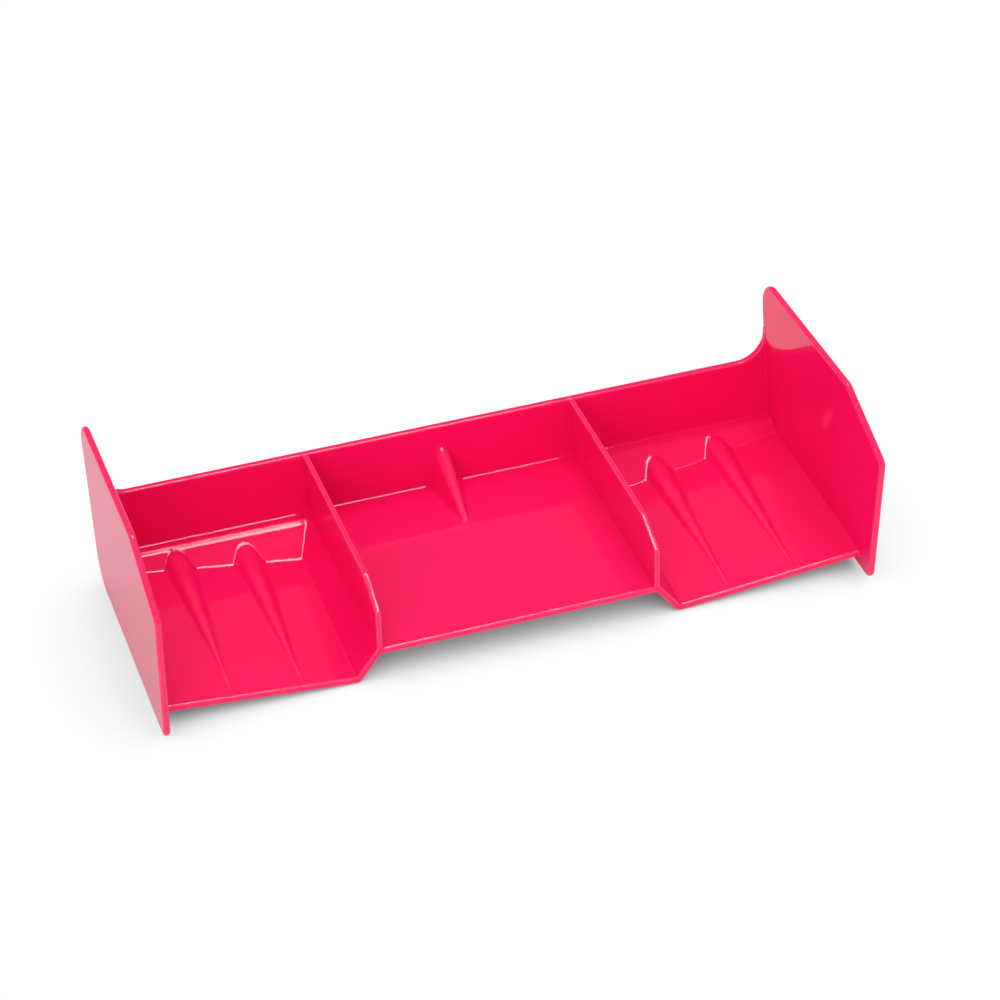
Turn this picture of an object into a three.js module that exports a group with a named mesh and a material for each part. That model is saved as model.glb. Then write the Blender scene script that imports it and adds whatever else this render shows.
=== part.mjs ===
// Rear wing of a 1/8-scale radio-controlled off-road car, as one moulding divided at its walls.
// Millimetres. +X is to the right seen from the leading edge, +Y runs back to the wall, +Z is up.
// The origin is on the ground under the middle of the wing.
import * as THREE from 'three';

// Overall size
const SPAN = 182.4;
const PLATE_THICKNESS = 1.7;
const SKIN = 1.7;
const FENCE_THICKNESS = 1.4;

// Spoiler wall: a flat sheet that leans back as it rises
const WALL_THICKNESS = 1.7;
const WALL_LEAN = 0.118;
const WALL_FOOT_Y = 33;
const WALL_FOOT_Z = 7;
const WALL_TOP_Z = 23.4;
const FLARE_RADIUS = 8;

// Leading edge and raised centre deck
const FRONT_Y = -29.3;
const CENTRE_FRONT_Z = 9.1;
const DIVIDER_X = 35.6;
const DIVIDER_FRONT_Z = 20.2;
const DIVIDER_CHAMFER_Y = -19.4;
const DIVIDER_CHAMFER_Z = 24.9;

// Centre fin
const FIN_TOE_Y = 14.4;
const FIN_HALF_WIDTH = 4.7;
const FIN_SHOULDER = { halfWidth: 1.7, z: 16.7 };
const FIN_CREST = { halfWidth: 0.8, z: 17.8 };
const FIN_TOE_HALF_WIDTH = 0.7;
const FIN_TOE_HEIGHT = 0.6;

// Outer decks: a ruled surface between the foot of the ramp and the end plate
const RAMP_FOOT_X = 41.8;
const RAMP_DEPTH = 2.4;
const OUTER_FRONT_Z = { ramp: 1.8, plate: 6.2 };
const OUTER_REAR_Z = { ramp: 2.4, plate: 4.9 };
const OUTER_REAR_Y = { ramp: 19.8, plate: 26.6 };
const SHELF_EDGE_Y = 30.3;
const SHELF_EDGE_Z = 6.85;
const SHELF_INNER_X = 37.2;

// Ridges that stiffen each outer deck
const RIDGES = {
  inner: { x: 55.1, crestEndY: 27, crestEndZ: 5.4 },
  outer: { x: 72.4, crestEndY: 29.4, crestEndZ: 6.4 },
};
const RIDGE_HALF_WIDTH = 3.85;
const RIDGE_CREST_HALF_WIDTH = 1.2;
const RIDGE_TOE_START = 0.15;
const RIDGE_TOE_SCALE = 0.12;
const RIDGE_SEAT_GAP = 0.1;

// Steps used for the ruled surfaces and the round corners
const SPAN_STEPS = 10;
const CHORD_STEPS = 6;
const RIDGE_STEPS = 6;
const ARC_STEPS = 7;

// End plate outline, clockwise from the front foot, as corner points with their radii
const PLATE_CORNERS = [
  { y: -35.3, z: 1.4, radius: 2.5 },
  { y: -38.9, z: 39.4, radius: 2.5 },
  { y: -16.1, z: 48.5, radius: 5 },
  { y: 39.7, z: 45.6, radius: 6.5 },
  { y: 33.9, z: -0.2, radius: 9 },
];

const PLATE_INNER_X = SPAN / 2 - PLATE_THICKNESS;
const DIVIDER_OUTER_X = DIVIDER_X + FENCE_THICKNESS / 2;
const DIVIDER_INNER_X = DIVIDER_X - FENCE_THICKNESS / 2;

const pink = { color: '#f8124f', roughness: 0.22, metalness: 0 };
const { lerp } = THREE.MathUtils;

const wing = new THREE.Group();

function addPiece(name, geometry) {
  const mesh = new THREE.Mesh(geometry, new THREE.MeshStandardMaterial(pink));
  mesh.name = name;
  wing.add(mesh);
}

// The same solid on the other side of the wing, with its faces turned to point out again.
function mirrored(geometry) {
  const copy = geometry.index ? geometry.toNonIndexed() : geometry.clone();
  copy.scale(-1, 1, 1);
  const positions = copy.attributes.position.array;
  for (let start = 0; start < positions.length; start += 9) {
    for (let axis = 0; axis < 3; axis += 1) {
      const second = start + 3 + axis;
      const third = start + 6 + axis;
      [positions[second], positions[third]] = [positions[third], positions[second]];
    }
  }
  copy.computeVertexNormals();
  return copy;
}

function addPair(name, rightGeometry) {
  addPiece(`right_${name}`, rightGeometry);
  addPiece(`left_${name}`, mirrored(rightGeometry));
}

// A closed solid through a row of sections, each one a loop of the same number of points.
function loft(sections) {
  const count = sections[0].length;
  const points = sections.flat();
  const triangles = [];
  for (let section = 0; section + 1 < sections.length; section += 1) {
    for (let corner = 0; corner < count; corner += 1) {
      const here = section * count + corner;
      const beside = section * count + ((corner + 1) % count);
      triangles.push([here, here + count, beside]);
      triangles.push([beside, here + count, beside + count]);
    }
  }
  const lastSection = (sections.length - 1) * count;
  for (let corner = 1; corner + 1 < count; corner += 1) {
    triangles.push([0, corner, corner + 1]);
    triangles.push([lastSection, lastSection + corner + 1, lastSection + corner]);
  }
  let volume = 0;
  for (const [a, b, c] of triangles) {
    volume += points[a].dot(new THREE.Vector3().crossVectors(points[b], points[c]));
  }
  const outward = volume > 0 ? triangles : triangles.map(([a, b, c]) => [a, c, b]);
  const geometry = new THREE.BufferGeometry().setFromPoints(points);
  geometry.setIndex(outward.flat());
  geometry.computeVertexNormals();
  return geometry;
}

// A polygon whose corners are rounded by arcs, as a shape.
function roundedShape(corners) {
  const shape = new THREE.Shape();
  corners.forEach((corner, index) => {
    const before = corners[(index + corners.length - 1) % corners.length];
    const after = corners[(index + 1) % corners.length];
    const here = new THREE.Vector2(corner.y, corner.z);
    const toBefore = new THREE.Vector2(before.y, before.z).sub(here).normalize();
    const toAfter = new THREE.Vector2(after.y, after.z).sub(here).normalize();
    const halfAngle = Math.acos(toBefore.dot(toAfter)) / 2;
    const reach = corner.radius / Math.tan(halfAngle);
    const start = here.clone().addScaledVector(toBefore, reach);
    const end = here.clone().addScaledVector(toAfter, reach);
    const bisector = toBefore.clone().add(toAfter).normalize();
    const centre = here.clone().addScaledVector(bisector, corner.radius / Math.sin(halfAngle));
    const startAngle = start.clone().sub(centre).angle();
    const endAngle = end.clone().sub(centre).angle();
    shape.absarc(centre.x, centre.y, corner.radius, startAngle, endAngle, true);
  });
  shape.closePath();
  return shape;
}

// A flat outline in Y and Z, given thickness along X from innerX outwards.
function sideSheet(shape, innerX, thickness) {
  const geometry = new THREE.ExtrudeGeometry(shape, {
    depth: thickness,
    bevelEnabled: false,
    curveSegments: ARC_STEPS,
  });
  const standUp = new THREE.Matrix4().set(
    0, 0, 1, innerX,
    1, 0, 0, 0,
    0, 1, 0, 0,
    0, 0, 0, 1,
  );
  return geometry.applyMatrix4(standUp);
}

// Front face of the spoiler wall at a height
function wallFrontY(z) {
  return WALL_FOOT_Y + WALL_LEAN * (z - WALL_FOOT_Z);
}

// A flat outline in X and Z, given the wall's thickness and lean.
function wallSheet(shape) {
  const geometry = new THREE.ExtrudeGeometry(shape, {
    depth: WALL_THICKNESS,
    bevelEnabled: false,
    curveSegments: ARC_STEPS,
  });
  const leanBack = new THREE.Matrix4().set(
    1, 0, 0, 0,
    0, WALL_LEAN, -1, wallFrontY(0) + WALL_THICKNESS,
    0, 1, 0, 0,
    0, 0, 0, 1,
  );
  return geometry.applyMatrix4(leanBack);
}

// Top of the centre deck at a distance along the chord
function centreTopZ(y) {
  return lerp(CENTRE_FRONT_Z, WALL_FOOT_Z, (y - FRONT_Y) / (WALL_FOOT_Y - FRONT_Y));
}

// Point on top of the outer deck: chordwise is 0 at the leading edge and 1 at the kick-up.
function outerTop(x, chordwise) {
  const across = (x - RAMP_FOOT_X) / (PLATE_INNER_X - RAMP_FOOT_X);
  const frontZ = lerp(OUTER_FRONT_Z.ramp, OUTER_FRONT_Z.plate, across);
  const rearY = lerp(OUTER_REAR_Y.ramp, OUTER_REAR_Y.plate, across);
  const rearZ = lerp(OUTER_REAR_Z.ramp, OUTER_REAR_Z.plate, across);
  const y = lerp(FRONT_Y, rearY, chordwise);
  const z = lerp(frontZ, rearZ, chordwise);
  return new THREE.Vector3(x, y, z);
}

// Point on the kick-up face: rise is 0 at its foot and 1 at the shelf. The face reaches further
// inboard as it rises, because the ramp beside it grows shallower towards the wall.
function kickUpTop(x, rise) {
  const innerX = lerp(RAMP_FOOT_X, SHELF_INNER_X, rise);
  const across = (x - innerX) / (PLATE_INNER_X - innerX);
  const footY = lerp(OUTER_REAR_Y.ramp, OUTER_REAR_Y.plate, across);
  const footZ = lerp(OUTER_REAR_Z.ramp, OUTER_REAR_Z.plate, across);
  const y = lerp(footY, SHELF_EDGE_Y, rise);
  const z = lerp(footZ, SHELF_EDGE_Z, rise);
  return new THREE.Vector3(x, y, z);
}

function lowered(point, depth) {
  return new THREE.Vector3(point.x, point.y, point.z - depth);
}

function onWall(x, z) {
  return new THREE.Vector3(x, wallFrontY(z), z);
}

// Evenly spaced numbers from first to last, both included
function spaced(first, last, steps) {
  return [...Array(steps + 1).keys()].map((step) => lerp(first, last, step / steps));
}

function endPlate() {
  return sideSheet(roundedShape(PLATE_CORNERS), PLATE_INNER_X, PLATE_THICKNESS);
}

function rearWall() {
  const footZ = WALL_FOOT_Z - SKIN;
  const shape = new THREE.Shape();
  shape.moveTo(-PLATE_INNER_X, footZ);
  shape.lineTo(PLATE_INNER_X, footZ);
  shape.lineTo(PLATE_INNER_X, WALL_TOP_Z);
  shape.lineTo(-PLATE_INNER_X, WALL_TOP_Z);
  shape.closePath();
  return wallSheet(shape);
}

// The curved flare that carries the top of the wall up into the end plate
function wallGusset() {
  const arcCentreX = PLATE_INNER_X - FLARE_RADIUS;
  const arcCentreZ = WALL_TOP_Z + FLARE_RADIUS;
  const shape = new THREE.Shape();
  shape.moveTo(arcCentreX, WALL_TOP_Z);
  shape.lineTo(PLATE_INNER_X, WALL_TOP_Z);
  shape.lineTo(PLATE_INNER_X, arcCentreZ);
  shape.absarc(arcCentreX, arcCentreZ, FLARE_RADIUS, 0, -Math.PI / 2, true);
  return wallSheet(shape);
}

function divider() {
  const shape = new THREE.Shape();
  shape.moveTo(FRONT_Y, centreTopZ(FRONT_Y));
  shape.lineTo(WALL_FOOT_Y, WALL_FOOT_Z);
  shape.lineTo(wallFrontY(WALL_TOP_Z), WALL_TOP_Z);
  shape.lineTo(DIVIDER_CHAMFER_Y, DIVIDER_CHAMFER_Z);
  shape.lineTo(FRONT_Y, DIVIDER_FRONT_Z);
  shape.closePath();
  return sideSheet(shape, DIVIDER_INNER_X, FENCE_THICKNESS);
}

function centreDeck() {
  const section = (x) => [
    new THREE.Vector3(x, FRONT_Y, CENTRE_FRONT_Z),
    onWall(x, WALL_FOOT_Z),
    onWall(x, WALL_FOOT_Z - SKIN),
    new THREE.Vector3(x, FRONT_Y, CENTRE_FRONT_Z - SKIN),
  ];
  return loft([section(-DIVIDER_OUTER_X), section(DIVIDER_OUTER_X)]);
}

// One side of the fin's section, from its base up to its crest; the other side mirrors it
function finSection(halfOutline, place) {
  const right = halfOutline.map(([x, z]) => place(x, z));
  const left = halfOutline.map(([x, z]) => place(-x, z)).reverse();
  return [...right, ...left];
}

function centreFin() {
  const toeZ = centreTopZ(FIN_TOE_Y);
  const toe = finSection(
    [
      [FIN_TOE_HALF_WIDTH, toeZ],
      [FIN_TOE_HALF_WIDTH, toeZ + FIN_TOE_HEIGHT / 2],
      [FIN_TOE_HALF_WIDTH / 2, toeZ + FIN_TOE_HEIGHT],
    ],
    (x, z) => new THREE.Vector3(x, FIN_TOE_Y, z),
  );
  const back = finSection(
    [
      [FIN_HALF_WIDTH, WALL_FOOT_Z],
      [FIN_SHOULDER.halfWidth, FIN_SHOULDER.z],
      [FIN_CREST.halfWidth, FIN_CREST.z],
    ],
    onWall,
  );
  return loft([toe, back]);
}

function outerDeck() {
  const chord = spaced(0, 1, CHORD_STEPS);
  const sections = spaced(RAMP_FOOT_X, PLATE_INNER_X, SPAN_STEPS).map((x) => {
    const top = chord.map((chordwise) => outerTop(x, chordwise));
    const underside = top.map((point) => lowered(point, SKIN)).reverse();
    return [...top, ...underside];
  });
  return loft(sections);
}

function kickUp() {
  const sections = spaced(0, 1, SPAN_STEPS).map((across) => {
    const foot = kickUpTop(lerp(RAMP_FOOT_X, PLATE_INNER_X, across), 0);
    const edge = kickUpTop(lerp(SHELF_INNER_X, PLATE_INNER_X, across), 1);
    return [foot, edge, lowered(edge, SKIN), lowered(foot, SKIN)];
  });
  return loft(sections);
}

function shelf() {
  const section = (x) => {
    const edge = kickUpTop(x, 1);
    return [edge, onWall(x, WALL_FOOT_Z), onWall(x, WALL_FOOT_Z - SKIN), lowered(edge, SKIN)];
  };
  return loft([section(SHELF_INNER_X), section(PLATE_INNER_X)]);
}

// Slope from the centre deck down to the outer floor, from the leading edge back to the wall
function ramp() {
  const foot = spaced(0, 1, CHORD_STEPS).map((chordwise) => outerTop(RAMP_FOOT_X, chordwise));
  foot.push(kickUpTop(SHELF_INNER_X, 1));
  const sections = foot.map((low) => {
    const high = new THREE.Vector3(DIVIDER_OUTER_X, low.y, centreTopZ(low.y));
    return [high, low, lowered(low, SKIN), lowered(high, RAMP_DEPTH)];
  });
  sections.push([
    onWall(DIVIDER_OUTER_X, WALL_FOOT_Z),
    onWall(SHELF_INNER_X, WALL_FOOT_Z),
    onWall(SHELF_INNER_X, WALL_FOOT_Z - SKIN),
    onWall(DIVIDER_OUTER_X, WALL_FOOT_Z - RAMP_DEPTH),
  ]);
  return loft(sections);
}

// A rib that widens and rises from a toe near the leading edge until it runs into the kick-up
function ridge({ x, crestEndY, crestEndZ }) {
  const toeZ = outerTop(x, RIDGE_TOE_START).z + RIDGE_SEAT_GAP;
  const toeY = outerTop(x, RIDGE_TOE_START).y;
  const crestZ = (y) => lerp(toeZ + RIDGE_SEAT_GAP, crestEndZ, (y - toeY) / (crestEndY - toeY));
  const seated = (point) => new THREE.Vector3(point.x, point.y, point.z + RIDGE_SEAT_GAP);
  const sections = spaced(RIDGE_TOE_START, 1, RIDGE_STEPS).map((chordwise) => {
    const grown = (chordwise - RIDGE_TOE_START) / (1 - RIDGE_TOE_START);
    const widthScale = lerp(RIDGE_TOE_SCALE, 1, grown);
    const halfBase = RIDGE_HALF_WIDTH * widthScale;
    const halfCrest = RIDGE_CREST_HALF_WIDTH * widthScale;
    const crestY = outerTop(x, chordwise).y;
    return [
      seated(outerTop(x - halfBase, chordwise)),
      new THREE.Vector3(x - halfCrest, crestY, crestZ(crestY)),
      new THREE.Vector3(x + halfCrest, crestY, crestZ(crestY)),
      seated(outerTop(x + halfBase, chordwise)),
    ];
  });
  const footY = kickUpTop(x, 0).y;
  const endRise = (crestEndY - footY) / (SHELF_EDGE_Y - footY);
  const halfEnd = RIDGE_CREST_HALF_WIDTH * 2;
  sections.push([
    seated(kickUpTop(x - halfEnd, endRise)),
    new THREE.Vector3(x - RIDGE_CREST_HALF_WIDTH / 2, crestEndY, crestEndZ + RIDGE_SEAT_GAP),
    new THREE.Vector3(x + RIDGE_CREST_HALF_WIDTH / 2, crestEndY, crestEndZ + RIDGE_SEAT_GAP),
    seated(kickUpTop(x + halfEnd, endRise)),
  ]);
  return loft(sections);
}

addPiece('rear_wall', rearWall());
addPiece('centre_deck', centreDeck());
addPiece('centre_fin', centreFin());
addPair('end_plate', endPlate());
addPair('wall_gusset', wallGusset());
addPair('divider', divider());
addPair('ramp', ramp());
addPair('outer_deck', outerDeck());
addPair('kick_up', kickUp());
addPair('shelf', shelf());
addPair('inner_ridge', ridge(RIDGES.inner));
addPair('outer_ridge', ridge(RIDGES.outer));

export default wing;
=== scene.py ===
"""Looks of the rear wing: one glossy moulding, meshed in one go and divided into the CAD's pieces.

The whole wing is described as a signed distance, negative inside the plastic, so that every
junction has a real fillet and every rim a real radius. Lengths in that description are millimetres,
like the CAD's; they become metres when the Blender meshes are made.
"""

import bpy
import numpy as np
from mathutils import Matrix, Vector
from mathutils.geometry import delaunay_2d_cdt


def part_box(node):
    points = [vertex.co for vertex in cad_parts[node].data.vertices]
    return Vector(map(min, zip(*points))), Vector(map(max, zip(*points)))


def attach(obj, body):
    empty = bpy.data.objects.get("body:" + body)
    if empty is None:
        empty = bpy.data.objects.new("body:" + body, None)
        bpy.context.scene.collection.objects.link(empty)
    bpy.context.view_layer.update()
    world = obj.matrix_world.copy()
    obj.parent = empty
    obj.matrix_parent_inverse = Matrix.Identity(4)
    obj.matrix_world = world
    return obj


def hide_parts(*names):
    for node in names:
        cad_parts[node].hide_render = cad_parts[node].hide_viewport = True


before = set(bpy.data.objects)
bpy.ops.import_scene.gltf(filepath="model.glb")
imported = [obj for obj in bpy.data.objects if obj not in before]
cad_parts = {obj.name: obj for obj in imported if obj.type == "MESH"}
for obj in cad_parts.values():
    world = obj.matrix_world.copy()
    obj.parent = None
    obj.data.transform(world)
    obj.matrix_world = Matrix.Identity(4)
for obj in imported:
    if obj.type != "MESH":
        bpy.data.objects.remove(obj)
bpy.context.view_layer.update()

MM = 0.001


# ---------------------------------------------------------------------------------------------
# Driving dimensions, in millimetres, read from the CAD nodes where a node's box gives them
# ---------------------------------------------------------------------------------------------


def box_mm(node):
    low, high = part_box(node)
    return low / MM, high / MM


PLATE_LOW, PLATE_HIGH = box_mm("right_end_plate")
WALL_LOW, WALL_HIGH = box_mm("rear_wall")
GUSSET_LOW, GUSSET_HIGH = box_mm("right_wall_gusset")
DIVIDER_LOW, DIVIDER_HIGH = box_mm("right_divider")
FIN_LOW, FIN_HIGH = box_mm("centre_fin")
OUTER_LOW, OUTER_HIGH = box_mm("right_outer_deck")
CENTRE_HIGH = box_mm("centre_deck")[1]
SHELF_LOW = box_mm("right_shelf")[0]

PLATE_THICKNESS = PLATE_HIGH.x - PLATE_LOW.x
PLATE_INNER_X = PLATE_LOW.x
SKIN = PLATE_THICKNESS
FENCE_THICKNESS = DIVIDER_HIGH.x - DIVIDER_LOW.x
DIVIDER_X = (DIVIDER_HIGH.x + DIVIDER_LOW.x) / 2
FRONT_Y = DIVIDER_LOW.y
CENTRE_FRONT_Z = CENTRE_HIGH.z
WALL_TOP_Z = WALL_HIGH.z
WALL_FOOT_Z = WALL_LOW.z + SKIN
WALL_LEAN = (WALL_HIGH.y - WALL_LOW.y - SKIN) / (WALL_HIGH.z - WALL_LOW.z)
WALL_FOOT_Y = WALL_LOW.y + WALL_LEAN * SKIN
FLARE_RADIUS = GUSSET_HIGH.x - GUSSET_LOW.x
# Corners in profile are (y, z), and the outer floor's pairs are (at the ramp, at the end plate)
DIVIDER_CHAMFER = (-19.4, DIVIDER_HIGH.z)
DIVIDER_FRONT_Z = 20.2
FIN_TOE_Y = FIN_LOW.y
FIN_TOE_HALF_WIDTH = 0.7
FIN_TOE_RADIUS = 0.7
FIN_TOE_ROUND = 0.4
FIN_HALF_WIDTH = FIN_HIGH.x
FIN_SHOULDER = (1.7, 16.7)
FIN_CREST_RADIUS = 1.85
RAMP_FOOT_X = OUTER_LOW.x
OUTER_FRONT_Z = (1.8, OUTER_HIGH.z)
OUTER_REAR_Z = (2.4, 4.9)
OUTER_REAR_Y = (19.8, OUTER_HIGH.y)
SHELF_EDGE = (SHELF_LOW.y, SHELF_LOW.z + SKIN)
SHELF_INNER_X = SHELF_LOW.x
RIDGES = ("inner_ridge", "outer_ridge")
RIDGE_SHOULDER_HALF_WIDTH = 1.85
RIDGE_SHOULDER_DROP = 1.3
RIDGE_CREST_RADIUS = 2.9
RIDGE_POINT_REACH = 4.0
# The end plate's outline, as (y, z, corner radius) from the lower front corner round to the lower rear
PLATE_CORNERS = (
    (-35.3, 1.4, 2.5),
    (-38.9, 39.4, 2.5),
    (-16.1, 48.5, 5.0),
    (39.7, 45.6, 6.5),
    (33.9, -0.2, 9.0),
)

# Roundings of the moulding
SHEET_RIM = 0.35
PLATE_RIM = 0.75
FENCE_RIM = 0.35
FILLET = 0.5
WALL_FILLET = 0.6
FENCE_FILLET = 0.4
RIDGE_FILLET = 0.35
OUTSIDE_BEND_RADIUS = 1.2
CHAMFER_RADIUS = 1.5
KICK_UP_FILLET = 2.6
SHELF_EDGE_ROUND = 10.0
RAMP_FILLET = 1.0

# Meshing: the grid, and how finely the surface is followed where it turns
STEP = 0.5
REFINE_ROUNDS = 3
LARGEST_TURN = np.radians(14)
SHORTEST_SPLIT = 0.16
GRADIENT_STEP = 0.02
PROJECTION_ROUNDS = 4
LEAST_STEEPNESS = 0.1
CUT_CLEARANCE = 0.01
SAME_SPOT = 1e-7
TINY = 1e-12


# ---------------------------------------------------------------------------------------------
# Signed distances
# ---------------------------------------------------------------------------------------------


def common(a, b, radius, cosine=0.0):
    """What the two solids share, with a rounded edge where their surfaces cross. The cosine is that
    of the angle between the two surfaces' outward directions, 0 where they cross square."""
    past_a = a + radius
    past_b = b + radius
    squared = past_a**2 + past_b**2 - 2 * cosine * past_a * past_b
    arc = np.sqrt(np.maximum(squared, 0)) / np.sqrt(1 - cosine**2) - radius
    on_arc = (past_a > cosine * past_b) & (past_b > cosine * past_a)
    return np.where(on_arc, arc, np.maximum(a, b))


def join(a, b, radius, cosine=0.0):
    """Both solids, with a concave fillet where their surfaces cross."""
    return -common(-a, -b, radius, cosine)


def plane_through(points, outward):
    """Distance function of the plane through three points, positive on the outward side."""
    first, second, third = (np.array(point, float) for point in points)
    normal = np.cross(second - first, third - first)
    normal /= np.linalg.norm(normal)
    if normal @ np.array(outward, float) < 0:
        normal = -normal

    def distance(x, y, z):
        return (x - first[0]) * normal[0] + (y - first[1]) * normal[1] + (z - first[2]) * normal[2]

    return distance


def rounded_outline(y, z, corners):
    """Distance from a convex outline given as (y, z, radius) corners, negative inside it."""
    distance = np.full(y.shape, -np.inf)
    count = len(corners)
    middle = np.mean([corner[:2] for corner in corners], axis=0)
    for index, (corner_y, corner_z, _) in enumerate(corners):
        along = np.array(corners[(index + 1) % count][:2]) - (corner_y, corner_z)
        along /= np.linalg.norm(along)
        normal = np.array((along[1], -along[0]))
        if normal @ (middle - (corner_y, corner_z)) > 0:
            normal = -normal
        edge = (y - corner_y) * normal[0] + (z - corner_z) * normal[1]
        distance = np.maximum(distance, edge)
    for index, (corner_y, corner_z, radius) in enumerate(corners):
        here = np.array((corner_y, corner_z))
        to_before = np.array(corners[index - 1][:2]) - here
        to_after = np.array(corners[(index + 1) % count][:2]) - here
        to_before /= np.linalg.norm(to_before)
        to_after /= np.linalg.norm(to_after)
        half_angle = np.arccos(to_before @ to_after) / 2
        bisector = to_before + to_after
        centre = here + bisector / np.linalg.norm(bisector) * radius / np.sin(half_angle)
        from_y = y - centre[0]
        from_z = z - centre[1]
        beyond_before = from_y * to_before[0] + from_z * to_before[1] < 0
        beyond_after = from_y * to_after[0] + from_z * to_after[1] < 0
        arc = np.hypot(from_y, from_z) - radius
        distance = np.where(beyond_before & beyond_after, arc, distance)
    return distance


def centre_top(y):
    """Height of the centre deck's top at a distance along the chord."""
    share = (y - FRONT_Y) / (WALL_FOOT_Y - FRONT_Y)
    return CENTRE_FRONT_Z + (WALL_FOOT_Z - CENTRE_FRONT_Z) * share


def wall_depth(y, z):
    """Distance behind the wall's front face."""
    return (y - WALL_FOOT_Y - WALL_LEAN * (z - WALL_FOOT_Z)) / np.hypot(1, WALL_LEAN)


def mix(pair, share):
    return pair[0] + (pair[1] - pair[0]) * share


def outer_share(x):
    """0 at the foot of the ramp and 1 at the end plate."""
    return (x - RAMP_FOOT_X) / (PLATE_INNER_X - RAMP_FOOT_X)


def outer_height(x, y):
    """Height of the outer deck's ruled top surface."""
    across = outer_share(x)
    along = (y - FRONT_Y) / (mix(OUTER_REAR_Y, across) - FRONT_Y)
    return mix((mix(OUTER_FRONT_Z, across), mix(OUTER_REAR_Z, across)), along)


def kick_up_height(x, y):
    """Height of the kick-up, a ruled surface from the back of the outer deck to the shelf edge."""
    across = outer_share(x)
    foot_y = mix(OUTER_REAR_Y, across)
    foot_z = mix(OUTER_REAR_Z, across)
    return foot_z + (SHELF_EDGE[1] - foot_z) * (y - foot_y) / (SHELF_EDGE[0] - foot_y)


def shelf_height(y):
    rise = (WALL_FOOT_Z - SHELF_EDGE[1]) / (WALL_FOOT_Y - SHELF_EDGE[0])
    return SHELF_EDGE[1] + rise * (y - SHELF_EDGE[0])


def ramp_width(y):
    """How far the ramp reaches out from the divider: narrower where the kick-up rises beside it."""
    along = (y - OUTER_REAR_Y[0]) / (SHELF_EDGE[0] - OUTER_REAR_Y[0])
    widths = (RAMP_FOOT_X - DIVIDER_HIGH.x, SHELF_INNER_X - DIVIDER_HIGH.x)
    return mix(widths, np.clip(along, 0, 1))


def ramp_slope(y):
    along = np.clip((y - OUTER_REAR_Y[0]) / (SHELF_EDGE[0] - OUTER_REAR_Y[0]), 0, 1)
    foot_y = np.minimum(y, OUTER_REAR_Y[0])
    low = np.where(
        along > 0, mix((OUTER_REAR_Z[0], SHELF_EDGE[1]), along), outer_height(RAMP_FOOT_X, foot_y)
    )
    return (centre_top(y) - low) / ramp_width(y)


def slope_distance(z, height, slope):
    """Distance above a sloping surface of the given height at this point."""
    return (z - height) / np.hypot(1, slope)


KICK_UP_SLOPE = (SHELF_EDGE[1] - OUTER_REAR_Z[0]) / (SHELF_EDGE[0] - OUTER_REAR_Y[0])
SHELF_SLOPE = (WALL_FOOT_Z - SHELF_EDGE[1]) / (WALL_FOOT_Y - SHELF_EDGE[0])
RAMP_SLOPE = (centre_top(0) - OUTER_FRONT_Z[0]) / (RAMP_FOOT_X - DIVIDER_HIGH.x)
SHELF_EDGE_COSINE = np.cos(np.arctan(KICK_UP_SLOPE) - np.arctan(SHELF_SLOPE))
KICK_UP_COSINE = np.cos(np.arctan(KICK_UP_SLOPE))
RAMP_COSINE = np.cos(np.arctan(RAMP_SLOPE))


def floor_distance(x, y, z):
    """Distance above the floor's top surface, without the ridges."""
    slope = ramp_slope(y)
    outer = z - outer_height(x, y)
    kick_up = slope_distance(z, kick_up_height(x, y), KICK_UP_SLOPE)
    shelf = slope_distance(z, shelf_height(y), SHELF_SLOPE)
    ramp = slope_distance(z, centre_top(y) - slope * (x - DIVIDER_HIGH.x), slope)
    behind = common(kick_up, shelf, SHELF_EDGE_ROUND, SHELF_EDGE_COSINE)
    floor = join(outer, behind, KICK_UP_FILLET, KICK_UP_COSINE)
    floor = join(floor, ramp, RAMP_FILLET, RAMP_COSINE)
    return np.maximum(floor, z - centre_top(y))


def kick_up_foot(x):
    return mix(OUTER_REAR_Y, outer_share(x))


def ridge_shape(name):
    """A ridge as its point, the end of its crest, and its two flank planes. Each flank runs through
    the point, the end of the base and the shoulder, which is where the round crest begins."""
    low, high = box_mm("right_" + name)
    middle = (low.x + high.x) / 2
    point_y = low.y - RIDGE_POINT_REACH
    point = (middle, point_y, outer_height(middle, point_y))
    end_y = high.y
    shoulder_y = end_y - RIDGE_SHOULDER_DROP
    flanks = []
    for side in (-1, 1):
        base_x = middle + side * (high.x - low.x) / 2
        base_y = kick_up_foot(base_x)
        base = (base_x, base_y, outer_height(base_x, base_y))
        shoulder_x = middle + side * RIDGE_SHOULDER_HALF_WIDTH
        shoulder = (shoulder_x, shoulder_y, kick_up_height(shoulder_x, shoulder_y))
        flanks.append(plane_through((point, base, shoulder), (side, 0, 1)))
    return {"point_y": point_y, "end_y": end_y, "flanks": flanks}


def ridge_distance(x, y, z, ridge):
    grown = np.clip((y - ridge["point_y"]) / (ridge["end_y"] - ridge["point_y"]), 0, 1)
    left, right = (flank(x, y, z) for flank in ridge["flanks"])
    return common(left, right, RIDGE_CREST_RADIUS * grown)


def fin_planes():
    toe = (FIN_TOE_HALF_WIDTH, FIN_TOE_Y, centre_top(FIN_TOE_Y))
    shoulder_x, shoulder_z = FIN_SHOULDER
    shoulder_y = WALL_FOOT_Y + WALL_LEAN * (shoulder_z - WALL_FOOT_Z)
    shoulder = (shoulder_x, shoulder_y, shoulder_z)
    foot = (FIN_HALF_WIDTH, WALL_FOOT_Y, WALL_FOOT_Z)
    right = plane_through((toe, shoulder, foot), (1, 0, 0))
    mirrored = [(-corner[0], corner[1], corner[2]) for corner in (toe, shoulder, foot)]
    left = plane_through(mirrored, (-1, 0, 0))
    half_angle = np.arctan((FIN_HALF_WIDTH - shoulder_x) / (shoulder_z - WALL_FOOT_Z))
    return right, left, -np.cos(2 * half_angle)


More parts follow.
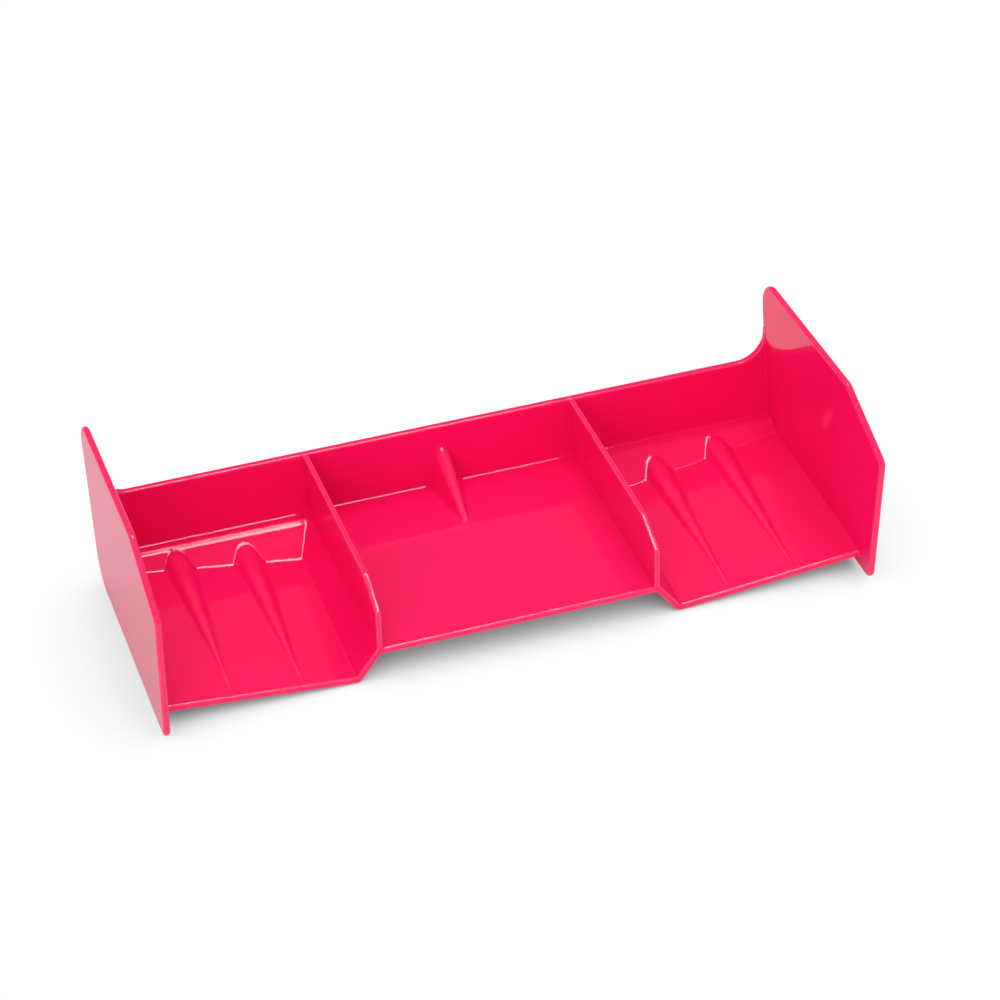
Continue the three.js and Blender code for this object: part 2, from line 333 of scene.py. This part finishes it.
RIDGE_SHAPES = [ridge_shape(name) for name in RIDGES]
*FIN_FLANKS, FIN_COSINE = fin_planes()


def divider_distance(x, y, z, floor, depth):
    wall_top_y = WALL_FOOT_Y + WALL_LEAN * (WALL_TOP_Z - WALL_FOOT_Z)
    top_slope = (WALL_TOP_Z - DIVIDER_CHAMFER[1]) / (wall_top_y - DIVIDER_CHAMFER[0])
    chamfer_slope = (DIVIDER_CHAMFER[1] - DIVIDER_FRONT_Z) / (DIVIDER_CHAMFER[0] - FRONT_Y)
    top_height = DIVIDER_CHAMFER[1] + top_slope * (y - DIVIDER_CHAMFER[0])
    top = slope_distance(z, top_height, top_slope)
    chamfer_height = DIVIDER_CHAMFER[1] + chamfer_slope * (y - DIVIDER_CHAMFER[0])
    chamfer = slope_distance(z, chamfer_height, chamfer_slope)
    chamfer_turn = np.arctan(chamfer_slope) - np.arctan(top_slope)
    outline = common(top, chamfer, CHAMFER_RADIUS, np.cos(chamfer_turn))
    buried = np.maximum(-floor - SKIN / 2, depth - SKIN / 2)
    outline = np.maximum(outline, buried)
    return common(outline, np.abs(x - DIVIDER_X) - FENCE_THICKNESS / 2, FENCE_RIM)


def fin_distance(x, y, z, floor, depth):
    right, left = (flank(x, y, z) for flank in FIN_FLANKS)
    grown = np.clip((y - FIN_TOE_Y) / (WALL_FOOT_Y - FIN_TOE_Y), 0, 1)
    wedge = common(right, left, mix((FIN_TOE_RADIUS, FIN_CREST_RADIUS), grown), FIN_COSINE)
    wedge = common(wedge, FIN_TOE_Y - y, FIN_TOE_ROUND)
    buried = np.maximum(-floor - SKIN / 2, depth - SKIN / 2)
    return np.maximum(wedge, buried)


def wall_outline(x, z):
    """Above the wall: a straight top that flares up into the end plate on an arc."""
    arc_x = PLATE_INNER_X - FLARE_RADIUS
    arc_z = WALL_TOP_Z + FLARE_RADIUS
    arc = FLARE_RADIUS - np.hypot(x - arc_x, np.minimum(z - arc_z, 0))
    arc = np.maximum(arc, z - arc_z)
    return np.where(x < arc_x, z - WALL_TOP_Z, arc)


def wing_distance(points):
    """Distance from the surface of the whole wing, negative inside the plastic."""
    x = np.abs(points[..., 0])
    y = points[..., 1]
    z = points[..., 2]
    floor = floor_distance(x, y, z)
    depth = wall_depth(y, z)
    top = floor
    for ridge in RIDGE_SHAPES:
        top = join(top, ridge_distance(x, y, z, ridge), RIDGE_FILLET)
    front_and_top = join(top, -depth, WALL_FILLET)
    under_and_back = common(-floor - SKIN, depth - SKIN, OUTSIDE_BEND_RADIUS)
    body = np.maximum(front_and_top, under_and_back)
    body = common(body, wall_outline(x, z), SHEET_RIM)
    body = join(body, fin_distance(x, y, z, floor, depth), FENCE_FILLET)
    body = join(body, divider_distance(x, y, z, floor, depth), FENCE_FILLET)
    body = common(body, FRONT_Y - y, SHEET_RIM)
    body = np.maximum(body, x - PLATE_INNER_X - PLATE_THICKNESS / 2)
    plate_middle_x = PLATE_INNER_X + PLATE_THICKNESS / 2
    outline = rounded_outline(y, z, PLATE_CORNERS)
    plate = common(outline, np.abs(x - plate_middle_x) - PLATE_THICKNESS / 2, PLATE_RIM)
    return join(body, plate, FILLET)


def gradient(distance, points):
    """Slope of a distance function by central differences."""
    slopes = []
    for axis in range(3):
        offset = np.zeros(3)
        offset[axis] = GRADIENT_STEP
        slopes.append((distance(points + offset) - distance(points - offset)) / (2 * GRADIENT_STEP))
    return np.stack(slopes, axis=-1)


# ---------------------------------------------------------------------------------------------
# Meshing
# ---------------------------------------------------------------------------------------------


def surface_points(cell_centres):
    """Moves points onto the wing's surface along its slope."""
    points = cell_centres.copy()
    for _ in range(PROJECTION_ROUNDS):
        slope = gradient(wing_distance, points)
        steepness = np.maximum((slope**2).sum(-1, keepdims=True), LEAST_STEEPNESS)
        move = -wing_distance(points)[:, None] * slope / steepness
        points += np.clip(move, -STEP, STEP)
    return points


def surface_directions(points):
    slope = gradient(wing_distance, points)
    return slope / np.maximum(np.linalg.norm(slope, axis=1, keepdims=True), TINY)


def refine(points, triangles):
    """Splits each edge along which the surface turns too far, at a new point on the surface."""
    facing = surface_directions(points)
    pairs = np.sort(triangles[:, [[0, 1], [1, 2], [2, 0]]].reshape(-1, 2), axis=1)
    edges, edge_of = np.unique(pairs, axis=0, return_inverse=True)
    start, end = edges.T
    turned = (facing[start] * facing[end]).sum(axis=1) < np.cos(LARGEST_TURN)
    long_enough = np.linalg.norm(points[start] - points[end], axis=1) > SHORTEST_SPLIT
    split = turned & long_enough
    middles = surface_points((points[start[split]] + points[end[split]]) / 2)
    number = np.full(len(edges), -1)
    number[split] = len(points) + np.arange(len(middles))
    middle_of = number[edge_of.reshape(-1, 3)]
    count = (middle_of >= 0).sum(axis=1)
    refined = [triangles[count == 0]]
    for wanted in (1, 2, 3):
        chosen = count == wanted
        has = middle_of[chosen] >= 0
        first = {1: has.argmax(axis=1), 2: (has.argmin(axis=1) + 1) % 3, 3: 0 * has[:, 0]}[wanted]
        order = (np.reshape(first, (-1, 1)) + np.arange(3)) % 3
        a, b, c = np.take_along_axis(triangles[chosen], order, axis=1).T
        ab, bc, ca = np.take_along_axis(middle_of[chosen], order, axis=1).T
        parts = {
            1: ((a, ab, c), (ab, b, c)),
            2: ((ab, b, bc), (a, ab, bc), (a, bc, c)),
            3: ((a, ab, ca), (ab, b, bc), (ca, bc, c), (ab, bc, ca)),
        }[wanted]
        refined.extend(np.stack(part, axis=1) for part in parts)
    return np.concatenate([points, middles]), np.concatenate(refined)


def wing_shell():
    """Points and triangles of the whole wing's surface, found on one half and mirrored."""
    low = np.array((-STEP / 2, PLATE_LOW.y - 2 * STEP, PLATE_LOW.z - 2 * STEP))
    high = np.array((PLATE_HIGH.x, PLATE_HIGH.y, PLATE_HIGH.z)) + 3 * STEP
    axes = [np.arange(low[axis], high[axis], STEP) for axis in range(3)]
    inside = np.empty([len(axis) for axis in axes], bool)
    for index, x in enumerate(axes[0]):
        layer = np.stack(np.meshgrid(x, axes[1], axes[2], indexing="ij"), axis=-1)[0]
        inside[index] = wing_distance(layer) < 0
    corners = np.zeros([count - 1 for count in inside.shape], np.int8)
    for i in (0, 1):
        for j in (0, 1):
            for k in (0, 1):
                shifted = inside[
                    i : inside.shape[0] - 1 + i,
                    j : inside.shape[1] - 1 + j,
                    k : inside.shape[2] - 1 + k,
                ]
                corners += shifted
    crossed = (corners > 0) & (corners < 8)
    cell_index = np.full(crossed.shape, -1)
    cell_index[crossed] = np.arange(crossed.sum())
    centres = low + STEP * (np.argwhere(crossed) + 0.5)
    points = surface_points(centres)
    quads = []
    for axis in range(3):
        order = (axis, (axis + 1) % 3, (axis + 2) % 3)
        nodes = inside.transpose(order)[:, 1:-1, 1:-1]
        cells = cell_index.transpose(order)
        i, j, k = np.nonzero(nodes[:-1] != nodes[1:])
        ring = (cells[i, j, k], cells[i, j + 1, k], cells[i, j + 1, k + 1], cells[i, j, k + 1])
        ring = np.stack(ring, axis=1)
        leaving = nodes[i, j, k]
        quads.append(np.where(leaving[:, None], ring, ring[:, ::-1]))
    triangles = split_quads(points, np.concatenate(quads))
    for _ in range(REFINE_ROUNDS):
        points, triangles = refine(points, triangles)
    # The CAD rounds its corners with short straight sides, which true arcs pass by a micrometre
    points = np.clip(points, (-STEP, PLATE_LOW.y, PLATE_LOW.z), tuple(PLATE_HIGH))
    return both_halves(points, triangles)


def both_halves(points, triangles):
    """The right half and its mirror image, sharing the points on the middle plane."""
    on_middle = np.abs(points[:, 0]) < CUT_CLEARANCE
    points[on_middle, 0] = 0
    twin = np.arange(len(points))
    twin[~on_middle] = len(points) + np.arange((~on_middle).sum())
    points = np.concatenate([points, points[~on_middle] * (-1, 1, 1)])
    return points, np.concatenate([triangles, twin[triangles][:, ::-1]])


def split_quads(points, quads):
    """Two triangles for each quad, across its shorter diagonal."""
    first = np.linalg.norm(points[quads[:, 0]] - points[quads[:, 2]], axis=1)
    second = np.linalg.norm(points[quads[:, 1]] - points[quads[:, 3]], axis=1)
    turned = np.where((first <= second)[:, None], quads, np.roll(quads, -1, axis=1))
    return np.concatenate([turned[:, [0, 1, 2]], turned[:, [0, 2, 3]]])


def cut_loops(segments):
    """Chains of (start, end) pairs joined up into closed loops."""
    following = dict(segments)
    loops = []
    while following:
        start, point = following.popitem()
        loop = [start]
        while point != start:
            loop.append(point)
            point = following.pop(point)
        loops.append(loop)
    return loops


def fill_loop(corners, facing):
    """Triangles over a closed loop of points, as rows of loop positions, facing the given way."""
    turn = Vector(facing).to_track_quat("Z", "Y").inverted().to_matrix()
    flat = (corners - corners.mean(axis=0)) @ np.array(turn).T
    outline = [Vector(corner[:2]) for corner in flat]
    order = list(range(len(outline)))
    spots, _, faces, _, _, _ = delaunay_2d_cdt(outline, [], [order], 1, SAME_SPOT)
    apart = np.linalg.norm(np.array(spots)[:, None, :] - flat[None, :, :2], axis=2)
    filled = apart.argmin(axis=1)[np.array(faces)]
    repeated = (filled == np.roll(filled, 1, axis=1)).any(axis=1)
    filled = filled[~repeated]
    first = flat[filled[:, 1], :2] - flat[filled[:, 0], :2]
    second = flat[filled[:, 2], :2] - flat[filled[:, 0], :2]
    clockwise = first[:, 0] * second[:, 1] < first[:, 1] * second[:, 0]
    return np.where(clockwise[:, None], filled[:, ::-1], filled)


def divide(shell, side):
    """Cuts a closed shell where side(points) is zero. Returns the two closed shells, the one where
    side is negative first. Each shell is (points, triangles, is_cap)."""
    points, triangles, is_cap = shell
    value = side(points)
    value = np.where(np.abs(value) < CUT_CLEARANCE, CUT_CLEARANCE, value)
    positive = value[triangles] > 0
    count = positive.sum(axis=1)
    crossing = (count == 1) | (count == 2)
    lone = np.where(count == 1, positive.argmax(axis=1), (~positive).argmax(axis=1))[crossing]
    turned = np.take_along_axis(triangles[crossing], (lone[:, None] + np.arange(3)) % 3, axis=1)
    tip, second, third = turned.T
    edges = np.sort(np.concatenate([np.stack([tip, second], 1), np.stack([third, tip], 1)]), axis=1)
    edges, edge_of = np.unique(edges, axis=0, return_inverse=True)
    edge_of = edge_of.ravel()
    start, end = edges.T
    share = (value[start] / (value[start] - value[end]))[:, None]
    all_points = np.concatenate([points, points[start] * (1 - share) + points[end] * share])
    near_second = len(points) + edge_of[: len(tip)]
    near_third = len(points) + edge_of[len(tip) :]
    tips = np.stack([tip, near_second, near_third], 1)
    stumps = np.concatenate(
        [np.stack([near_second, second, third], 1), np.stack([near_second, third, near_third], 1)]
    )
    tip_positive = value[tip] > 0
    was_cap = is_cap[crossing]
    along = np.where(tip_positive[:, None], tips[:, [1, 2]], tips[:, [2, 1]])
    caps = []
    for loop in cut_loops(zip(along[:, 0].tolist(), along[:, 1].tolist())):
        corners = all_points[loop]
        towards = gradient(side, corners.mean(axis=0)[None, :])[0]
        caps.append(np.array(loop)[fill_loop(corners, towards)])
    cap = np.concatenate(caps) if caps else np.empty((0, 3), int)
    halves = []
    for wanted, own_cap in ((False, cap), (True, cap[:, ::-1])):
        whole = count == (3 if wanted else 0)
        own_tips = tip_positive == wanted
        own_stumps = np.tile(~own_tips, 2)
        kept = np.concatenate(
            [triangles[whole], tips[own_tips], stumps[own_stumps], own_cap]
        )
        cap_flags = np.concatenate(
            [
                is_cap[whole],
                was_cap[own_tips],
                np.tile(was_cap, 2)[own_stumps],
                np.ones(len(own_cap), bool),
            ]
        )
        halves.append(compact(all_points, kept, cap_flags))
    return halves


def compact(points, triangles, is_cap):
    """A shell with only the points that its triangles use."""
    used, triangles = np.unique(triangles, return_inverse=True)
    return points[used], triangles.reshape(-1, 3), is_cap


def right_side(shell):
    """The part of a shell that lies wholly on the right, where nothing crosses the middle."""
    points, triangles, is_cap = shell
    keep = points[triangles[:, 0], 0] > 0
    return compact(points, triangles[keep], is_cap[keep])


def left_twin(shell):
    points, triangles, is_cap = shell
    return points * (-1, 1, 1), triangles[:, ::-1], is_cap


# ---------------------------------------------------------------------------------------------
# Dividing the moulding into the CAD's pieces. Each cut runs through the middle of a fillet.
# ---------------------------------------------------------------------------------------------

# How far each cut lies from the corner that its fillet rounds off
SEAM = 0.3 * FILLET
RIDGE_SEAM = 0.4 * FILLET


def beyond_plate_face(p):
    return np.abs(p[:, 0]) - (PLATE_INNER_X - SEAM)


def behind_wall_face(p):
    return wall_depth(p[:, 1], p[:, 2]) + SEAM


def above_wall_top(p):
    return p[:, 2] - WALL_TOP_Z - SEAM


def above_centre_deck(p):
    return p[:, 2] - centre_top(p[:, 1]) - SEAM


def outside_centre_deck(p):
    return np.abs(p[:, 0]) - DIVIDER_HIGH.x - SEAM


def outside_fin(p):
    return np.abs(p[:, 0]) - (FIN_HALF_WIDTH + DIVIDER_LOW.x) / 2


def outside_ramp(p):
    return np.abs(p[:, 0]) - DIVIDER_HIGH.x - np.maximum(ramp_width(p[:, 1]), 2 * SEAM)


def above_floor(p):
    return floor_distance(np.abs(p[:, 0]), p[:, 1], p[:, 2]) - RIDGE_SEAM


def outer_of_two_ridges(p):
    ridge_xs = [sum(box_mm("right_" + name)[end].x for end in (0, 1)) / 2 for name in RIDGES]
    return np.abs(p[:, 0]) - sum(ridge_xs) / 2


def behind_kick_up_foot(p):
    return p[:, 1] - kick_up_foot(np.abs(p[:, 0]))


def behind_shelf_edge(p):
    return p[:, 1] - SHELF_EDGE[0]


def wing_pieces():
    """Every piece by its CAD node name, as a closed shell."""
    points, triangles = wing_shell()
    shell = (points, triangles, np.zeros(len(triangles), bool))
    rest, plates = divide(shell, beyond_plate_face)
    rest, wall = divide(rest, behind_wall_face)
    rear_wall, gussets = divide(wall, above_wall_top)
    floor, fences = divide(rest, above_centre_deck)
    fin, dividers = divide(fences, outside_fin)
    centre_deck, outboard = divide(floor, outside_centre_deck)
    outboard = right_side(outboard)
    ramp, outboard = divide(outboard, outside_ramp)
    outboard, ridges = divide(outboard, above_floor)
    inner_ridge, outer_ridge = divide(ridges, outer_of_two_ridges)
    outer_deck, behind = divide(outboard, behind_kick_up_foot)
    kick_up, shelf = divide(behind, behind_shelf_edge)
    pieces = {"rear_wall": rear_wall, "centre_deck": centre_deck, "centre_fin": fin}
    paired = {
        "end_plate": right_side(plates),
        "wall_gusset": right_side(gussets),
        "divider": right_side(dividers),
        "ramp": ramp,
        "outer_deck": outer_deck,
        "kick_up": kick_up,
        "shelf": shelf,
        "inner_ridge": inner_ridge,
        "outer_ridge": outer_ridge,
    }
    for name, right in paired.items():
        pieces["right_" + name] = right
        pieces["left_" + name] = left_twin(right)
    return pieces


def corner_normals(points, triangles, is_cap):
    """The surface's own direction at every point, and each cap's own flat direction."""
    facing = surface_directions(points)
    a, b, c = (points[triangles[:, corner]] for corner in range(3))
    flat = np.cross(b - a, c - a)
    flat /= np.maximum(np.linalg.norm(flat, axis=1, keepdims=True), TINY)
    return np.where(is_cap[:, None, None], flat[:, None, :], facing[triangles])


def edge_roundness(points):
    """How tightly the surface curves outwards at each point, from 0 on flats to 1 on rims."""
    total = -6 * wing_distance(points)
    for axis in range(3):
        offset = np.zeros(3)
        offset[axis] = SHEET_RIM
        total = total + wing_distance(points + offset) + wing_distance(points - offset)
    return np.clip(total / SHEET_RIM, 0, 1)


def mesh_object(name, shell, material):
    points, triangles, is_cap = shell
    mesh = bpy.data.meshes.new(name + "_moulding")
    mesh.from_pydata((points * MM).tolist(), [], triangles.tolist())
    # The rim attribute marks convex rims, both for the painted highlight and for the rougher rim wear.
    rim_highlight_and_wear_attribute = mesh.attributes.new("rim", "FLOAT", "POINT")
    rim_highlight_and_wear_attribute.data.foreach_set("value", edge_roundness(points).astype(np.float32))
    normals = corner_normals(points, triangles, is_cap)
    mesh.polygons.foreach_set("use_smooth", np.ones(len(triangles), bool))
    mesh.normals_split_custom_set(normals.reshape(-1, 3).tolist())
    mesh.materials.append(material)
    piece = bpy.data.objects.new(name + "_moulding", mesh)
    bpy.context.scene.collection.objects.link(piece)
    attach(piece, "root")
    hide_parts(name)
    return piece


# ---------------------------------------------------------------------------------------------
# Materials, floor, light and camera
# ---------------------------------------------------------------------------------------------

# The plastic. Noise scales are in waves per metre.
PLASTIC_IOR = 1.42
COAT_WEIGHT = 0.05
COAT_ROUGHNESS = 0.5
CLOUD_SCALE = 28
CLOUD_DETAIL = 4
PIGMENT = {0.3: (0.86, 0.0036, 0.098, 1), 0.7: (0.90, 0.0044, 0.106, 1)}
# Painted highlight: a paler pink mixed onto convex rims, standing in for the lamps catching them.
RIM_PAINTED_HIGHLIGHT_COLOUR = (1.0, 0.09, 0.19, 1)
WORN_RIM_ROUGHNESS = 0.02
SCUFF_SCALE = 900
SCUFF_DETAIL = 3
ROUGHNESS = (0.05, 0.07)
GRAIN_SCALE = 2500
GRAIN_DETAIL = 2
GRAIN_STRENGTH = 0.06
GRAIN_HEIGHT = 0.0001

# The floor, in metres. It is emissive white, darkened near the wing by its own occlusion.
FLOOR_HALF_WIDTH = 6.0
FLOOR_GAP = 0.00005
FLOOR_GREY = 0.04
FLOOR_ROUGHNESS = 0.9
SHADOW_REACH = 0.045
SHADOW_SAMPLES = 16
# How bright the floor is where the plastic mirrors it, as a share of how bright it looks.
MIRRORED_FLOOR = 0.66

# The studio: each softbox's name, position and size in metres, radiance, and what it lights.
WORLD_STRENGTH = 0.75
SOFTBOXES = (
    ("lamp_behind", (0.075, 0.60, 1.50), (0.75, 0.62), 14, "glossy"),
    ("strip_above", (0.27, -0.20, 1.60), (0.56, 0.18), 34, "glossy"),
    ("back_panel", (0.6, 2.0, 1.5), (3.0, 1.6), 0.16, "glossy"),
    ("fill_above", (0.0, 0.3, 2.2), (1.6, 1.6), 2.3, "matt"),
    ("fill_front", (-1.2, -2.0, 1.2), (1.6, 1.6), 2.6, "matt"),
)

# The viewing angle
SENSOR_WIDTH = 36
LENS = 124.85
FARTHEST_SEEN = 50
CAMERA_PLACE = (-0.19862, -0.65943, 0.53649)
CAMERA_RIGHT = (0.94979538, -0.31192184, -0.02436186)
CAMERA_FORWARD = (0.23648658, 0.76671187, -0.59684756)


def add_node(tree, kind, **settings):
    node = tree.nodes.new(kind)
    for name, value in settings.items():
        setattr(node, name, value)
    return node


def set_inputs(node, **values):
    """Sets a node's inputs. An underscore in a keyword stands for a space in the input's name."""
    for name, value in values.items():
        node.inputs[name.replace("_", " ")].default_value = value


def noise(tree, scale, detail):
    """Noise fixed to the piece, as its factor output."""
    coordinates = add_node(tree, "ShaderNodeTexCoord")
    texture = add_node(tree, "ShaderNodeTexNoise")
    set_inputs(texture, Scale=scale, Detail=detail)
    tree.links.new(coordinates.outputs["Object"], texture.inputs["Vector"])
    return texture.outputs["Fac"]


def math(tree, operation, *operands):
    """A math node's output. Each operand is a number or another node's output."""
    node = add_node(tree, "ShaderNodeMath", operation=operation)
    for slot, operand in zip(node.inputs, operands):
        if isinstance(operand, bpy.types.NodeSocket):
            tree.links.new(operand, slot)
        else:
            slot.default_value = operand
    return node.outputs["Value"]


def glossy_plastic():
    """Saturated pink moulded plastic: faint pigment clouds, fine surface grain, and convex rims
    painted paler as a highlight, broken up by scuff noise that also roughens them as wear.
    """
    material = bpy.data.materials.new("moulded_plastic")
    material.use_nodes = True
    tree = material.node_tree
    shader = tree.nodes["Principled BSDF"]
    set_inputs(shader, IOR=PLASTIC_IOR, Coat_Weight=COAT_WEIGHT, Coat_Roughness=COAT_ROUGHNESS)

    clouds = noise(tree, CLOUD_SCALE, CLOUD_DETAIL)
    pigment = add_node(tree, "ShaderNodeValToRGB")
    for element, (position, colour) in zip(pigment.color_ramp.elements, PIGMENT.items()):
        element.position = position
        element.color = colour
    tree.links.new(clouds, pigment.inputs["Fac"])

    rim = add_node(tree, "ShaderNodeAttribute", attribute_name="rim")
    # Painted highlight on convex rims, broken up by scuff noise; the same mask also roughens the rims
    # as real wear.
    rim_highlight_and_wear = math(tree, "MULTIPLY", rim.outputs["Fac"], noise(tree, SCUFF_SCALE, SCUFF_DETAIL))
    colour = add_node(tree, "ShaderNodeMix", data_type="RGBA")
    set_inputs(colour, B=RIM_PAINTED_HIGHLIGHT_COLOUR)
    tree.links.new(rim_highlight_and_wear, colour.inputs["Factor"])
    tree.links.new(pigment.outputs["Color"], colour.inputs["A"])
    tree.links.new(colour.outputs["Result"], shader.inputs["Base Color"])

    gloss = add_node(tree, "ShaderNodeMapRange")
    set_inputs(gloss, To_Min=ROUGHNESS[0], To_Max=ROUGHNESS[1])
    tree.links.new(clouds, gloss.inputs["Value"])
    roughness = math(tree, "MULTIPLY_ADD", rim_highlight_and_wear, WORN_RIM_ROUGHNESS, gloss.outputs["Result"])
    tree.links.new(roughness, shader.inputs["Roughness"])

    bump = add_node(tree, "ShaderNodeBump")
    set_inputs(bump, Strength=GRAIN_STRENGTH, Distance=GRAIN_HEIGHT)
    tree.links.new(noise(tree, GRAIN_SCALE, GRAIN_DETAIL), bump.inputs["Height"])
    tree.links.new(bump.outputs["Normal"], shader.inputs["Normal"])
    return material


def pale_floor():
    """A white floor that is a neutral grey where the wing shades it."""
    material = bpy.data.materials.new("pale_floor")
    material.use_nodes = True
    tree = material.node_tree
    shader = tree.nodes["Principled BSDF"]
    set_inputs(
        shader,
        Base_Color=(FLOOR_GREY, FLOOR_GREY, FLOOR_GREY, 1),
        Roughness=FLOOR_ROUGHNESS,
        Emission_Color=(1, 1, 1, 1),
        Specular_IOR_Level=0,
    )
    occlusion = add_node(tree, "ShaderNodeAmbientOcclusion", samples=SHADOW_SAMPLES)
    set_inputs(occlusion, Distance=SHADOW_REACH)
    openness = occlusion.outputs["AO"]
    brightness = math(tree, "MULTIPLY", openness, math(tree, "SUBTRACT", 2, openness))
    rays = add_node(tree, "ShaderNodeLightPath")
    mirrored = math(tree, "MULTIPLY_ADD", rays.outputs["Is Glossy Ray"], MIRRORED_FLOOR - 1, 1)
    strength = math(tree, "MULTIPLY", brightness, mirrored)
    tree.links.new(strength, shader.inputs["Emission Strength"])

    half = FLOOR_HALF_WIDTH
    corners = [(-half, -half, 0), (half, -half, 0), (half, half, 0), (-half, half, 0)]
    mesh = bpy.data.meshes.new("studio_floor")
    mesh.from_pydata(corners, [], [(0, 1, 2, 3)])
    mesh.materials.append(material)
    floor = bpy.data.objects.new("studio_floor", mesh)
    floor.location.z = PLATE_LOW.z * MM - FLOOR_GAP
    bpy.context.scene.collection.objects.link(floor)


def softbox(name, position, size, radiance, lights):
    """A rectangular area light aimed at the wing. Radiance is how bright it looks. It either lights
    matt surfaces only, or shows in glossy ones only."""
    place = Vector(position)
    light = bpy.data.lights.new(name, "AREA")
    light.shape = "RECTANGLE"
    light.size, light.size_y = size
    light.energy = radiance * np.pi * size[0] * size[1]
    lamp = bpy.data.objects.new(name, light)
    lamp.location = place
    lamp.rotation_euler = place.to_track_quat("Z", "Y").to_euler()
    lamp.visible_diffuse = lights == "matt"
    lamp.visible_glossy = lights == "glossy"
    bpy.context.scene.collection.objects.link(lamp)


def studio_light():
    world = bpy.data.worlds.new("studio")
    bpy.context.scene.world = world
    world.use_nodes = True
    background = world.node_tree.nodes["Background"]
    set_inputs(background, Color=(1, 1, 1, 1), Strength=WORLD_STRENGTH)
    world.cycles_visibility.glossy = False
    for settings in SOFTBOXES:
        softbox(*settings)


def photo_camera():
    camera = bpy.data.cameras.new("photo_view")
    camera.sensor_width = SENSOR_WIDTH
    camera.lens = LENS
    camera.clip_end = FARTHEST_SEEN
    view = bpy.data.objects.new("photo_view", camera)
    right = Vector(CAMERA_RIGHT)
    forward = Vector(CAMERA_FORWARD)
    up = right.cross(forward)
    turn = Matrix((right, up, -forward)).transposed().to_4x4()
    view.matrix_world = Matrix.Translation(Vector(CAMERA_PLACE)) @ turn
    bpy.context.scene.collection.objects.link(view)
    bpy.context.scene.camera = view


bpy.context.scene.view_settings.view_transform = "Standard"
plastic = glossy_plastic()
for node_name, piece_shell in wing_pieces().items():
    mesh_object(node_name, piece_shell, plastic)
pale_floor()
studio_light()
photo_camera()
